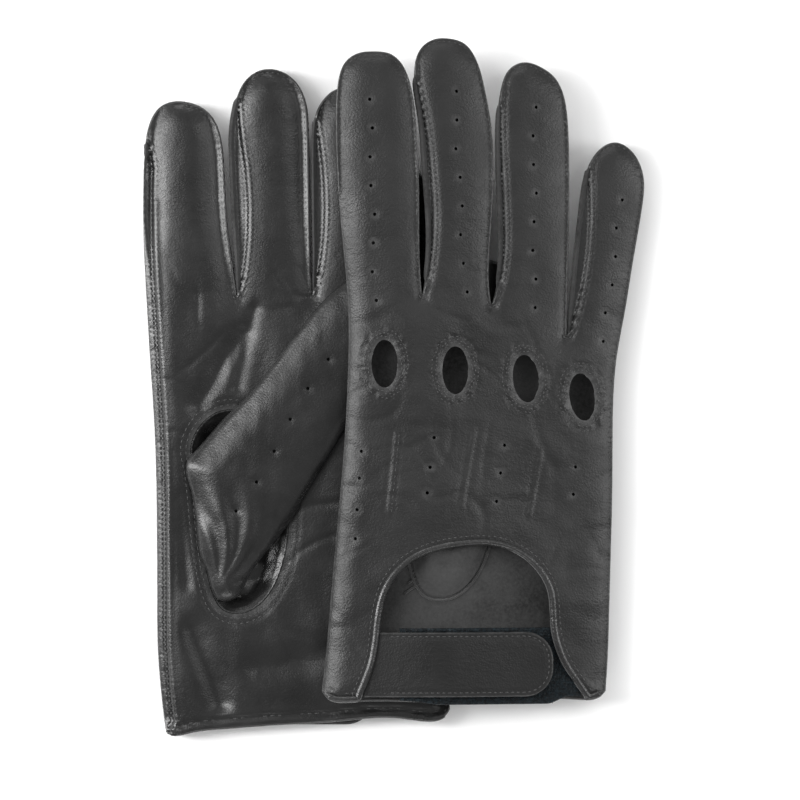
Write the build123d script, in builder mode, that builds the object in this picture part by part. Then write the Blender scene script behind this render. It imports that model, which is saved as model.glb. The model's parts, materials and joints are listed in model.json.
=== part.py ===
"""A pair of unlined leather driving gloves, laid one over the other.

The left glove lies palm up on the table. The right glove lies back up over its thumb and little
finger and slopes down to the table. Each glove is a back panel, a palm panel, strips between the
fingers and a set-in thumb. Every finger folds across its middle, the thumb swings and the wrist
strap opens. Lengths are in millimetres, +Z is up and the fingertips point along +Y.
"""
import os
from math import cos, radians, sin

from build123d import *

LEATHER = 0.9           # leather thickness
THICK = 10.0            # thickness of an empty glove, outside
FOLD_GAP = 0.5          # space left where a finger or a strap folds
LAYER_GAP = 0.4         # space between parts that slide over each other
THUMB_THICK = 6.4       # a thumb pressed flat
FAR = 150.0             # beyond the edge of everything

LEFT_PALM_TOP = THICK
RIGHT_LEVEL = LEFT_PALM_TOP + THUMB_THICK + 2 * LAYER_GAP
KNEE_X = 9.5            # the right glove is level up to here, then slopes to the table
LANDING_X = 89.0
LANDING_Z = 0.3

BINDING_WIDE = 2.2      # rolled edge of the wrist opening
INSET_STEPS = 24        # points that place the inner edge of a side wall
OPENING_STEPS = 30
TIP_SPARE = 9.0         # the strips between fingers stop this short of the fingertips
FINGERS = ["index", "middle", "ring", "little"]

RIGHT = {
    "name": "right",
    "curves": [
        [(-25.4, -106.5), (-24.0, -94.2), (-22.3, -74.7), (-19.8, -46.5), (-17.5, -20.0), (-16.2, 5.0),
         (-16.2, 31.3), (-18.4, 55.0), (-20.0, 80.0), (-20.3, 98.0), (-19.6, 108.0), (-17.0, 115.0),
         (-12.5, 118.0), (-7.1, 118.6), (-1.2, 117.7), (2.6, 114.4), (5.2, 109.0), (7.0, 101.0),
         (8.1, 88.0), (8.8, 70.0), (8.9, 50.0), (9.9, 32.6)],
        [(9.9, 32.6), (11.3, 42.0), (11.8, 52.0), (11.4, 64.0), (10.4, 77.0), (8.9, 95.0), (7.3, 106.0),
         (7.3, 114.0), (10.0, 120.3), (14.5, 123.0), (19.5, 123.2), (24.5, 121.7), (28.6, 116.6),
         (32.0, 105.5), (34.0, 95.0), (35.0, 80.0), (34.7, 65.0), (33.7, 50.0), (33.3, 40.0), (34.4, 29.5)],
        [(34.4, 29.5), (36.6, 39.0), (37.3, 50.0), (36.9, 62.0), (36.2, 80.0), (36.5, 96.0), (37.8, 106.0),
         (41.0, 113.0), (45.8, 115.2), (51.5, 113.8), (56.6, 110.2), (60.0, 103.6), (61.4, 95.0),
         (61.9, 80.0), (61.9, 62.0), (61.4, 42.0), (61.1, 18.3)],
        [(61.1, 18.3), (62.5, 33.0), (64.0, 48.0), (65.7, 63.0), (67.4, 74.0), (70.2, 81.5), (74.2, 85.8),
         (78.3, 87.2), (83.0, 85.3), (86.6, 80.8), (88.6, 74.0), (88.2, 66.0), (86.6, 56.0), (84.2, 42.0),
         (81.4, 25.0), (79.0, 12.0), (77.6, -5.0), (77.4, -25.0), (77.0, -50.0), (76.3, -74.7),
         (75.8, -92.4), (74.9, -107.0)],
        [(74.9, -107.0), (72.5, -109.3), (64.0, -110.0), (25.0, -110.8), (-15.0, -110.3), (-22.5, -109.6),
         (-25.4, -106.5)],
    ],
    "gaps": [
        [(10.0, 20.0), (10.3, 58.0), (8.4, 93.0), (6.4, 109.0), (4.5, FAR)],
        [(34.4, 20.0), (35.4, 57.0), (35.6, 80.0), (35.2, 97.0), (34.0, FAR)],
        [(61.2, 10.0), (63.4, 58.0), (64.4, 76.0), (66.0, FAR)],
    ],
    "folds": [(-5.3, 63.0, 91.5), (23.0, 64.0, 93.0), (49.2, 59.0, 90.0), (74.6, 44.5, 82.5)],
    "lengths": [55.8, 59.5, 56.2, 42.7],
    "holes": [(-3.3, 8.7, 0.0), (21.6, 6.4, 0.0), (46.5, 3.5, 6.0), (66.6, -3.0, 8.0)],
    "opening_shift": (0.0, 0.0),
    "hem_y": -104.5,
    "thumb_hole_shift": (72.0, 6.0),
    "binding": (9.1, 10.7),
    "tab": (2.0, 66.0, 8.2, 9.1),
    "strap": (-2.6, 56.2, 11.0, 12.0),
    "hook": (20.0, 52.0, 9.5, 11.0),
}

LEFT = {
    "name": "left",
    "curves": [
        [(-80.9, -121.9), (-81.8, -116.0), (-82.8, -107.0), (-83.9, -92.0), (-84.1, -72.0), (-84.2, -50.0),
         (-84.6, -25.0), (-85.4, -8.0), (-86.6, 10.0), (-87.8, 30.0), (-88.8, 49.0), (-89.1, 66.0),
         (-88.4, 84.0), (-86.4, 95.0), (-82.6, 100.3), (-77.6, 102.0), (-72.5, 101.5), (-67.4, 99.3),
         (-63.6, 95.0), (-61.2, 87.0), (-60.3, 76.0), (-59.2, 58.0), (-57.2, 43.0), (-55.7, 32.2)],
        [(-55.7, 32.2), (-56.0, 45.0), (-57.0, 62.0), (-57.9, 80.0), (-57.9, 92.0), (-56.4, 101.0),
         (-53.2, 108.6), (-48.8, 112.4), (-44.2, 113.4), (-38.8, 112.0), (-34.4, 108.3), (-31.5, 102.5),
         (-30.4, 94.0), (-30.1, 80.0), (-29.9, 60.0), (-29.6, 45.0), (-29.0, 32.8)],
        [(-29.0, 32.8), (-28.6, 45.0), (-28.8, 60.0), (-29.0, 80.0), (-28.8, 91.0), (-27.6, 98.0),
         (-24.6, 103.2), (-20.6, 106.2), (-16.6, 106.8), (-12.3, 105.0), (-8.8, 100.5), (-6.8, 92.0),
         (-6.0, 78.0), (-5.9, 60.0), (-5.8, 45.0), (-5.2, 30.8)],
        [(-5.2, 30.8), (-4.8, 45.0), (-4.5, 58.0), (-3.5, 68.0), (-0.8, 74.6), (3.2, 77.8), (7.4, 77.6),
         (11.0, 74.4), (13.4, 68.0), (14.4, 58.0), (14.3, 45.0), (13.4, 30.0), (12.4, 12.0), (11.6, -4.0),
         (11.7, -20.0), (12.2, -40.0), (13.4, -60.0), (15.6, -80.0), (17.8, -98.0), (19.9, -113.6)],
        [(19.9, -113.6), (18.4, -115.9), (3.5, -116.8), (-19.1, -117.7), (-41.3, -119.0), (-59.7, -120.4),
         (-73.2, -122.1), (-78.5, -122.9), (-80.9, -121.9)],
    ],
    "gaps": [
        [(-55.7, 20.0), (-58.1, 60.0), (-59.1, 78.0), (-59.6, 90.0), (-60.0, FAR)],
        [(-29.0, 20.0), (-29.35, 60.0), (-29.6, 86.0), (-29.4, FAR)],
        [(-5.2, 20.0), (-5.2, 60.0), (-4.8, 74.0), (-4.0, FAR)],
    ],
    "folds": [(-74.0, 62.0, 91.5), (-43.3, 63.0, 92.0), (-17.4, 62.0, 90.5), (4.9, 52.0, 90.0)],
    "lengths": [39.8, 50.3, 44.5, 25.7],
    "holes": [(-72.5, 8.0, 0.0), (-46.5, 6.5, 0.0), (-21.5, 3.5, 6.0), (-1.2, -3.0, 8.0)],
    "opening_shift": (-59.0, -11.0),
    "hem_y": -111.0,
    "thumb_hole_shift": (0.0, 0.0),
    "binding": (7.8, 10.0),
    "tab": (2.0, 66.0, 6.9, 7.8),
    "strap": (-2.6, 52.0, 9.0, 10.0),
    "hook": (18.0, 48.0, 8.2, 9.0),
}

OPENING = [(-11.5, -118.0), (-9.9, -107.6), (-6.4, -98.8), (-4.2, -87.5), (-2.8, -76.9), (0.7, -68.0),
           (7.1, -61.7), (15.9, -58.0), (24.4, -56.6), (35.3, -56.6), (43.1, -59.4), (49.7, -65.2),
           (53.4, -72.4), (54.1, -81.1), (55.8, -91.2), (59.7, -99.8), (64.1, -106.2), (70.0, -118.0)]
HOLE_WIDE = 9.2
HOLE_LONG = 16.8
HEM_WIDE = 5.0
TAB_LOW_Y = -111.4
TAB_TOP_Y = -84.4
STRAP_LOW_Y = -108.5
STRAP_TOP_Y = -85.7
STRAP_END_ROUND = 10.0
STRAP_RISE = 3.4
HOOK_MARGIN = 2.5
ANCHOR_LONG = 9.0

THUMB_HOLE = [(-72.0, -24.0), (-69.8, -38.0), (-68.4, -54.0), (-65.6, -69.0), (-60.0, -79.0), (-53.0, -79.6),
              (-45.0, -74.0), (-39.5, -63.0), (-37.3, -49.0), (-38.5, -33.0), (-43.0, -18.0), (-52.0, -8.5),
              (-62.0, -8.0), (-69.5, -14.0)]
LEFT_THUMB = [(-71.2, -25.6), (-67.4, -20.2), (-62.0, -12.5), (-56.6, -7.2), (-50.5, -1.1), (-41.3, 10.4),
              (-32.2, 22.5), (-24.5, 31.5), (-14.5, 39.5), (-5.5, 43.2), (1.8, 40.8), (4.2, 34.0), (1.0, 20.0),
              (-7.5, 2.0), (-17.1, -14.1), (-29.0, -34.1), (-36.8, -47.1), (-44.4, -57.1), (-52.0, -67.7),
              (-56.6, -74.6), (-61.5, -75.0), (-66.0, -66.0), (-68.4, -52.5), (-70.4, -37.1)]
LEFT_THUMB_PIVOT = (-55.0, -48.0)
COLLAR_RADIUS = 9.5
RIGHT_THUMB = [(19.0, -80.0), (18.6, -60.0), (18.5, -40.0), (19.0, -10.0), (20.4, 20.0), (22.6, 34.0),
               (27.0, 42.5), (33.5, 45.5), (40.0, 42.5), (44.4, 34.0), (46.6, 20.0), (49.0, -10.0),
               (50.4, -40.0), (50.4, -60.0), (50.0, -80.0)]
RIGHT_THUMB_FOLD_Y = -66.0


def drape(glove, x, height):
    """Height over the table of a point `height` above the glove's palm face."""
    if glove["name"] == "left":
        return LEFT_PALM_TOP - height
    slope = (LANDING_Z - RIGHT_LEVEL) / (LANDING_X - KNEE_X)
    return RIGHT_LEVEL + slope * max(0.0, x - KNEE_X) + height


def side_view(glove, low, high):
    """Side view of the layer of a glove between two heights over its palm face."""
    lower = [(x, drape(glove, x, low)) for x in (-FAR, KNEE_X, FAR)]
    upper = [(x, drape(glove, x, high)) for x in (FAR, KNEE_X, -FAR)]
    with BuildSketch(Plane.XZ) as layer:
        with BuildLine():
            Polyline(*lower, *upper, close=True)
        make_face()
    return layer.sketch


def polygon(points):
    """A flat area with straight edges."""
    with BuildSketch() as area:
        with BuildLine():
            Polyline(*points, close=True)
        make_face()
    return area.sketch


def smooth_area(points, shift=(0.0, 0.0)):
    """A flat area with one smooth closed edge."""
    moved = [(x + shift[0], y + shift[1]) for x, y in points]
    with BuildSketch() as area:
        with BuildLine():
            Spline(*moved, periodic=True)
        make_face()
    return area.sketch


def common(*areas):
    """The area shared by several flat areas."""
    with BuildSketch() as shared:
        add(areas[0])
        for area in areas[1:]:
            add(area, mode=Mode.INTERSECT)
    return shared.sketch


def cut(area, *others):
    """A flat area with others taken out of it."""
    with BuildSketch() as left_over:
        add(area)
        for other in others:
            add(other, mode=Mode.SUBTRACT)
    return left_over.sketch


def beside(curve, distance, count):
    """Points along a curve moved sideways, to the right of its direction."""
    points = []
    for step in range(count + 1):
        place = curve @ (step / count)
        along = curve % (step / count)
        points.append((place.X + distance * along.Y, place.Y - distance * along.X))
    return points


def glove_area(glove):
    """Plan of a whole glove."""
    with BuildSketch() as plan:
        with BuildLine():
            for curve in glove["curves"]:
                Spline(*curve)
        make_face()
    return plan.sketch


def inside_area(glove):
    """Plan of a glove inside its side walls, open past the hem."""
    with BuildSketch() as inside:
        with BuildLine():
            last = None
            for curve in glove["curves"][:-1]:
                wall = Edge.make_spline([Vector(*point) for point in curve])
                inner = beside(wall, LEATHER, INSET_STEPS)
                if last:
                    under_fork = (curve[0][0], curve[0][1] - LEATHER)
                    Polyline(last, under_fork, inner[0])
                else:
                    first = inner[0]
                Spline(*inner)
                last = inner[-1]
            Polyline(last, (last[0], -FAR), (first[0], -FAR), first)
        make_face()
    return inside.sketch


def opening_area(glove, beyond):
    """Plan of the wrist opening with its edge moved outward."""
    dx, dy = glove["opening_shift"]
    edge = Edge.make_spline([Vector(x + dx, y + dy) for x, y in OPENING])
    moved = beside(edge, -beyond, OPENING_STEPS)
    with BuildSketch() as area:
        with BuildLine():
            Spline(*moved)
            Line(moved[-1], moved[0])
        make_face()
    return area.sketch


def thumb_wall(points):
    """Plan of the side wall of a thumb."""
    closed = Edge.make_spline([Vector(*point) for point in points], periodic=True)
    inner = beside(closed, LEATHER, INSET_STEPS)[:-1]
    with BuildSketch() as wall:
        add(smooth_area(points))
        add(smooth_area(inner), mode=Mode.SUBTRACT)
    return wall.sketch


def finger_column(glove, number):
    """The strip of plan that holds one finger, bounded by the gaps beside it."""
    left = [(-FAR, 20.0), (-FAR, FAR)] if number == 0 else glove["gaps"][number - 1]
    right = [(FAR, 10.0), (FAR, FAR)] if number == 3 else glove["gaps"][number]
    return polygon(left + right[::-1])


def along_finger(glove, number, start, end, left=50.0, right=50.0):
    """A block of plan beside a finger's fold line, measured along and across the finger."""
    x, y, angle = glove["folds"][number]
    along = (cos(radians(angle)), sin(radians(angle)))
    across = (along[1], -along[0])
    corners = [(start, -left), (end, -left), (end, right), (start, right)]
    return polygon([(x + a * along[0] + b * across[0], y + a * along[1] + b * across[1]) for a, b in corners])


def finger_area(glove, number, start, end=FAR, left=50.0, right=50.0):
    """The part of one finger's column between two distances beyond its fold line."""
    return common(finger_column(glove, number), along_finger(glove, number, start, end, left, right))


def layer_solid(glove, area, low, high):
    """The part of a glove's layer between two heights that lies over a plan."""
    with BuildPart() as sheet:
        with BuildSketch(Plane.XY.offset(-FAR)):
            add(area)
        extrude(amount=2 * FAR)
        extrude(side_view(glove, low, high), amount=FAR, both=True, mode=Mode.INTERSECT)
    return sheet.part


def save_layers(name, glove, *layers):
    """One leather piece: each layer is a plan and the two heights it lies between."""
    solids = [layer_solid(glove, area, low, high) for area, low, high in layers]
    with BuildPart() as piece:
        for solid in solids:
            add(solid)
    save(name, piece.part)


def save(name, part):
    """Write one sub-part to its own file."""
    part.label = name
    export_step(part, f"parts/{name}.step")
    print(f"{name:36s} solids {len(part.solids())} volume {part.volume:.1f}")


def shifted_box(x0, x1, y0, y1, shift):
    """A rectangle of plan moved by a shift."""
    dx, dy = shift
    return polygon([(x0 + dx, y0 + dy), (x1 + dx, y0 + dy), (x1 + dx, y1 + dy), (x0 + dx, y1 + dy)])


def oval_hole(x, y, angle):
    """Plan of one knuckle hole."""
    with BuildSketch() as hole:
        with Locations(Location((x, y, 0), angle)):
            Ellipse(HOLE_WIDE / 2, HOLE_LONG / 2)
    return hole.sketch


def build_hand(glove, plan, rim):
    """Back panel, palm panel, strips between the fingers and edgings of one glove."""
    name = glove["name"]
    hand = cut(plan, *[finger_area(glove, number, -FOLD_GAP / 2) for number in range(4)])
    opened = opening_area(glove, BINDING_WIDE / 2)
    binding = cut(opened, opening_area(glove, -BINDING_WIDE / 2))
    holes = [oval_hole(*place) for place in glove["holes"]]
    hem_y = glove["hem_y"]
    above_hem = polygon([(-FAR, hem_y), (FAR, hem_y), (FAR, FAR), (-FAR, FAR)])
    below_hem = polygon([(-FAR, -FAR), (FAR, -FAR), (FAR, hem_y), (-FAR, hem_y)])
    forks = []
    for number in range(3):
        start = glove["folds"][number][0]
        end = glove["folds"][number + 1][0]
        forks.append(polygon([(start, 10.0), (end, 10.0), (end, FAR), (start, FAR)]))
    side_rim = cut(common(rim, hand, above_hem), *forks)
    save_layers(name + "_back_panel", glove,
                (cut(hand, opened, *holes), THICK - LEATHER, THICK), (side_rim, LEATHER, THICK - LEATHER))
    thumb_hole = smooth_area(THUMB_HOLE, glove["thumb_hole_shift"])
    save_layers(name + "_palm_panel", glove, (cut(hand, thumb_hole), 0.0, LEATHER))
    for number, fork in enumerate(forks):
        pair = FINGERS[number] + "_" + FINGERS[number + 1]
        strip = common(rim, hand, fork)
        save_layers(f"{name}_fourchette_{pair}", glove, (strip, LEATHER, THICK - LEATHER))
    save_layers(name + "_opening_binding", glove, (common(binding, plan), *glove["binding"]))
    hem = common(plan, inside_area(glove), below_hem)
    save_layers(name + "_palm_hem", glove, (hem, LEATHER, 2 * LEATHER))


def build_fingers(glove, plan, rim):
    """Back, palm and side strips of the folding half of each finger."""
    for number, finger in enumerate(FINGERS):
        name = glove["name"] + "_" + finger
        length = glove["lengths"][number]
        start = FOLD_GAP / 2
        end = length - TIP_SPARE
        whole = common(plan, finger_area(glove, number, start))
        edge = common(rim, whole)
        strips = []
        if number > 0:
            strip = common(edge, along_finger(glove, number, start, end, right=0.0))
            save_layers(name + "_strip_index_side", glove, (strip, LEATHER, THICK - LEATHER))
            strips.append(strip)
        if number < 3:
            strip = common(edge, along_finger(glove, number, start, end, left=0.0))
            save_layers(name + "_strip_little_side", glove, (strip, LEATHER, THICK - LEATHER))
            strips.append(strip)
        save_layers(name + "_back", glove,
                    (whole, THICK - LEATHER, THICK), (cut(edge, *strips), LEATHER, THICK - LEATHER))
        save_layers(name + "_palm", glove, (whole, 0.0, LEATHER))


def build_strap(glove):
    """Wrist strap with its hook patch, its sewn-down end and the loop tab under it."""
    name = glove["name"]
    shift = glove["opening_shift"]
    tab_left, tab_right, tab_low, tab_high = glove["tab"]
    tab = shifted_box(tab_left, tab_right, TAB_LOW_Y, TAB_TOP_Y, shift)
    save_layers(name + "_loop_tab", glove, (tab, tab_low, tab_high))
    left, right, low, high = glove["strap"]
    middle_y = (STRAP_LOW_Y + STRAP_TOP_Y) / 2
    with BuildSketch() as band:
        with Locations(((left + right) / 2 + shift[0], middle_y + shift[1])):
            Rectangle(right - left, STRAP_TOP_Y - STRAP_LOW_Y)
        fillet(band.vertices().group_by(Axis.X)[-1], STRAP_END_ROUND)
    anchor = shifted_box(left - FOLD_GAP - ANCHOR_LONG, left - FOLD_GAP, STRAP_LOW_Y, STRAP_TOP_Y, shift)
    anchor_high = THICK - LEATHER if name == "right" else glove["binding"][0]
    save_layers(name + "_strap_anchor", glove, (anchor, anchor_high - LEATHER, anchor_high))
    rise = shifted_box(left, left + STRAP_RISE, STRAP_LOW_Y, STRAP_TOP_Y, shift)
    save_layers(name + "_strap", glove, (band.sketch, low, high), (rise, anchor_high - LEATHER, low))
    hook_left, hook_right, hook_low, hook_high = glove["hook"]
    hook = shifted_box(hook_left, hook_right, STRAP_LOW_Y + HOOK_MARGIN, STRAP_TOP_Y - HOOK_MARGIN, shift)
    save_layers(name + "_hook_patch", glove, (hook, hook_low, hook_high))


def build_left_thumb():
    """Thumb that lies across the palm, with the collar and gusset it turns on."""
    plan = smooth_area(LEFT_THUMB)
    with BuildSketch() as turning_hole:
        with Locations(LEFT_THUMB_PIVOT):
            Circle(COLLAR_RADIUS + FOLD_GAP)
    with BuildSketch() as collar:
        with Locations(LEFT_THUMB_PIVOT):
            Circle(COLLAR_RADIUS)
            Circle(COLLAR_RADIUS - LEATHER, mode=Mode.SUBTRACT)
    with BuildSketch() as way_in:
        with Locations(LEFT_THUMB_PIVOT):
            Circle(COLLAR_RADIUS - LEATHER)
    low = -LAYER_GAP - THUMB_THICK
    high = -LAYER_GAP
    rim = thumb_wall(LEFT_THUMB)
    save_layers("left_thumb_outer", LEFT, (plan, low, low + LEATHER), (rim, low + LEATHER, high - LEATHER))
    save_layers("left_thumb_inner", LEFT, (cut(plan, turning_hole.sketch), high - LEATHER, high))
    gusset = cut(smooth_area(THUMB_HOLE, LEFT["thumb_hole_shift"]), way_in.sketch)
    save_layers("left_thumb_gusset", LEFT, (gusset, 0.0, LEATHER), (collar.sketch, high - 2 * LEATHER, 0.0))


def build_right_thumb():
    """Thumb tucked under the palm, open at the end where it folds."""
    plan = smooth_area(RIGHT_THUMB)
    beyond = polygon([(-FAR, RIGHT_THUMB_FOLD_Y), (FAR, RIGHT_THUMB_FOLD_Y), (FAR, FAR), (-FAR, FAR)])
    low = -LAYER_GAP - THUMB_THICK
    high = -LAYER_GAP
    thumb = common(plan, beyond)
    rim = common(thumb_wall(RIGHT_THUMB), beyond)
    save_layers("right_thumb_outer", RIGHT, (thumb, low, low + LEATHER), (rim, low + LEATHER, high - LEATHER))
    save_layers("right_thumb_inner", RIGHT, (thumb, high - LEATHER, high))
    gusset = smooth_area(THUMB_HOLE, RIGHT["thumb_hole_shift"])
    save_layers("right_thumb_gusset", RIGHT, (gusset, 0.0, LEATHER))


os.makedirs("parts", exist_ok=True)
for worn_on in (RIGHT, LEFT):
    area = glove_area(worn_on)
    edge_strip = cut(area, inside_area(worn_on))
    build_hand(worn_on, area, edge_strip)
    build_fingers(worn_on, area, edge_strip)
    build_strap(worn_on)
build_left_thumb()
build_right_thumb()
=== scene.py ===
"""The looks of a pair of leather driving gloves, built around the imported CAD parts."""

import json
import math

import bpy
import numpy as np
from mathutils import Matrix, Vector, geometry, kdtree, noise


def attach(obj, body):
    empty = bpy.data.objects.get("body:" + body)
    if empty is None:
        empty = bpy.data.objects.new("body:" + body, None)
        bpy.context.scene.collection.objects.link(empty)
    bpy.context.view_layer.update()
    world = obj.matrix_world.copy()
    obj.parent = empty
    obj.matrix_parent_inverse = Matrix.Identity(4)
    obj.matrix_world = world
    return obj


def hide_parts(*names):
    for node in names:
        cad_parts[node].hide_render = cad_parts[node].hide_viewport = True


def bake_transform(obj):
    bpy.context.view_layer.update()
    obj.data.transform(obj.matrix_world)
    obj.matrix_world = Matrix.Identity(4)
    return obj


MM = 0.001
FINGERS = ["index", "middle", "ring", "little"]

# Leather and sewing, in metres
SKIN = 0.9 * MM             # leather thickness
GRID = 1.0 * MM             # spacing of the points of a leather sheet
EDGE_STEP = 0.8 * MM        # spacing along its outline
STITCH_LONG = 1.55 * MM
STITCH_WIDE = 0.42 * MM
STITCH_PITCH = 2.25 * MM
STITCH_LIFT = 0.06 * MM
SEAM_INSET = 1.25 * MM      # a seam's stitches lie this far inside the edge
PIPE_RADIUS = 1.3 * MM
FLAT_AREA = 1e-12           # triangles smaller than this are left out
PERFORATION = 0.62 * MM     # radius of a punched hole
# How far the strip at the index side of each finger shows beside the upper leather
STRIPS_SHOWN = {"right": (0.0, 2.6 * MM, 2.2 * MM, 4.6 * MM),
                "left": (3.4 * MM, 5.6 * MM, 4.4 * MM, 2.0 * MM)}
BLEND_REACH = 11 * MM       # leather from this far before a finger's fold line on goes to that finger's piece
# How high the upper leather stands at its seams, as a share of half the thickness of the glove
EDGE_SHARE = {"between fingers": 0.58, "index side": 0.45, "little side": 0.3, "tips": 0.3, "hem": 0.8}
# How far in from its edge it is rounded
ROUNDING = {"fingers": 10.4 * MM, "index side": 8.5 * MM, "little side": 11 * MM, "hem": 5 * MM}
TAPE_GRID = 1.2 * MM
PILE_RADIUS = 0.11 * MM
TAB_SINK = 1.1 * MM         # the loop tape lies this much under its CAD node, clear of the back
THUMB_DOT_PITCH = 12.55 * MM

# The room: floor, light of the sky, lights (name, place, size, power) and the view
FLOOR_Z = -0.4 * MM
SKY = 0.37
LIGHTS = [("left_softbox", (-1.15, 0.15, 0.66), (0.35, 1.4), 23.0),
          ("upper_left_panel", (-0.85, 0.35, 1.45), (0.4, 1.0), 6.5),
          ("upper_right_panel", (0.80, 0.45, 1.60), (0.25, 0.8), 2.5),
          ("right_softbox", (1.45, 0.10, 0.70), (0.5, 1.4), 12.5),
          ("top_softbox", (0.0, 1.40, 0.95), (1.4, 0.5), 9.0),
          ("low_softbox", (0.0, -1.40, 0.80), (1.4, 0.5), 8.0)]
CAMERA_HEIGHT = 2.0
FRAME_WIDE = 0.2827         # width of the view at VIEW_LEVEL
VIEW_LEVEL = 0.015
VIEW_CENTRE = (0.00212, -0.00406)
SENSOR = 36.0

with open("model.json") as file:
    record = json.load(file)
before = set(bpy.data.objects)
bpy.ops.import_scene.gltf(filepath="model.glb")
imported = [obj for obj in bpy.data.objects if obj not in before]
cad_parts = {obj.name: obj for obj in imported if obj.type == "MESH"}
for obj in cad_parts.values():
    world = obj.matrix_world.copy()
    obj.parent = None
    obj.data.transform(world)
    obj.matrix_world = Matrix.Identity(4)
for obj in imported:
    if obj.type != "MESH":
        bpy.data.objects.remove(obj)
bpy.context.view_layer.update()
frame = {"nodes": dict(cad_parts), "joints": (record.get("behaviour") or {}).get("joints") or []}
NODES = frame["nodes"]
JOINTS = {joint["name"]: joint for joint in frame["joints"]}
THUMB_FOOT = np.array(JOINTS["left_thumb_swing"]["pos_m"][:2])
THUMB_AHEAD = np.array([0.52, 0.854])       # the left thumb points this way
THUMB_RIGHT = np.array([0.854, -0.52])


# ---------------------------------------------------------------- outlines taken from the CAD parts

def plan_loops(node, facing):
    """Closed outlines in plan of the faces of a CAD node that look up (1) or down (-1), longest first."""
    mesh = NODES[node].data
    key = {}
    place = []
    same = []
    for vertex in mesh.vertices:
        name = (round(vertex.co.x, 6), round(vertex.co.y, 6), round(vertex.co.z, 6))
        if name not in key:
            key[name] = len(place)
            place.append(name)
        same.append(key[name])
    after = {}
    edges = set()
    for face in mesh.polygons:
        if face.normal.z * facing < 0.5:
            continue
        corners = [same[v] for v in face.vertices]
        for a, b in zip(corners, corners[1:] + corners[:1]):
            edges.add((a, b))
    for a, b in edges:
        if (b, a) not in edges:
            after[a] = b
    loops = []
    while after:
        start, here = after.popitem()
        loop = [start]
        while here != start and here in after:
            loop.append(here)
            here = after.pop(here)
        points = np.array([place[i] for i in loop])
        loops.append(points if facing > 0 else points[::-1])
    loops.sort(key=lambda p: -np.ptp(p[:, 0]) * np.ptp(p[:, 1]))
    return [loop[:, :2] for loop in loops]


def join_fingers(hand, fingers):
    """The outline of a hand with its cut-off fingers put back on."""
    whole = [p for p in hand]
    for finger in fingers:
        sides = np.linalg.norm(np.roll(finger, -1, 0) - finger, axis=1)
        cut = int(np.argmax(sides))
        middle = (finger[cut] + finger[(cut + 1) % len(finger)]) / 2
        path = np.roll(finger, -(cut + 1), 0)
        ring = np.array(whole)
        spans = np.linalg.norm(np.roll(ring, -1, 0) - ring, axis=1)
        centres = (np.roll(ring, -1, 0) + ring) / 2
        away = np.linalg.norm(centres - middle, axis=1) + np.where(spans < 8 * MM, 1.0, 0.0)
        spot = int(np.argmin(away))
        whole = whole[:spot + 1] + [p for p in path[1:-1]] + whole[spot + 1:]
    return np.array(whole)


def turns(loop):
    """Turning angle at each point of a closed loop, positive to the left."""
    ahead = np.roll(loop, -1, 0) - loop
    behind = loop - np.roll(loop, 1, 0)
    cross = behind[:, 0] * ahead[:, 1] - behind[:, 1] * ahead[:, 0]
    return np.arctan2(cross, (behind * ahead).sum(1))


def evenly(loop, step, corner=0.6):
    """A closed loop with points at an even spacing, and its sharp corners kept."""
    lengths = np.linalg.norm(loop - np.roll(loop, 1, 0), axis=1)
    loop = loop[lengths > 1e-6]
    marks = [i for i, turn in enumerate(turns(loop)) if abs(turn) > corner] or [0]
    points = []
    for a, b in zip(marks, marks[1:] + [marks[0] + len(loop)]):
        stretch = loop[np.arange(a, b + 1) % len(loop)]
        run = np.concatenate([[0], np.cumsum(np.linalg.norm(np.diff(stretch, axis=0), axis=1))])
        count = max(1, round(run[-1] / step))
        spots = np.arange(count) * run[-1] / count
        points.append(np.column_stack([np.interp(spots, run, stretch[:, k]) for k in (0, 1)]))
    return np.concatenate(points)


def inside(points, loop):
    """Which points lie inside a closed loop."""
    result = np.zeros(len(points), bool)
    x, y = points[:, 0], points[:, 1]
    for (x0, y0), (x1, y1) in zip(loop, np.roll(loop, -1, 0)):
        if y0 == y1:
            continue
        crosses = ((y0 > y) != (y1 > y)) & (x < (x1 - x0) * (y - y0) / (y1 - y0) + x0)
        result ^= crosses
    return result


def to_line(points, line, closed=False):
    """Distance from points to a line of points, and how far along it the nearest place is."""
    ends = np.roll(line, -1, 0) if closed else line[1:]
    starts = line if closed else line[:-1]
    best = np.full(len(points), 1e9)
    along = np.zeros(len(points))
    run = 0.0
    for a, b in zip(starts, ends):
        span = b - a
        length = math.hypot(*span)
        if length < 1e-9:
            continue
        t = np.clip(((points - a) @ span) / length ** 2, 0, 1)
        gap = np.hypot(points[:, 0] - a[0] - t * span[0], points[:, 1] - a[1] - t * span[1])
        nearer = gap < best
        best = np.where(nearer, gap, best)
        along = np.where(nearer, run + t * length, along)
        run += length
    return best, along


def unit_rows(vectors):
    """The vectors at length 1."""
    return vectors / np.maximum(np.linalg.norm(vectors, axis=1), 1e-12)[:, None]


def left_of(ways):
    """Plan directions turned a quarter turn to the left."""
    return np.column_stack([-ways[:, 1], ways[:, 0]])


def ways_round(loop):
    """Direction of a closed loop at each of its points."""
    return unit_rows(np.roll(loop, -1, 0) - np.roll(loop, 1, 0))


def point_tree(points):
    """A search tree of plan points."""
    tree = kdtree.KDTree(len(points))
    for i, (x, y) in enumerate(points):
        tree.insert((x, y, 0), i)
    tree.balance()
    return tree


def gaps_to(tree, points):
    """Distance from each plan point to the nearest point of a tree."""
    return np.array([tree.find((x, y, 0))[2] for x, y in points])


def smooth_step(value, low, high):
    """0 below low, 1 above high and a soft curve between them."""
    t = np.clip((value - low) / (high - low), 0, 1)
    return t * t * (3 - 2 * t)


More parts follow.
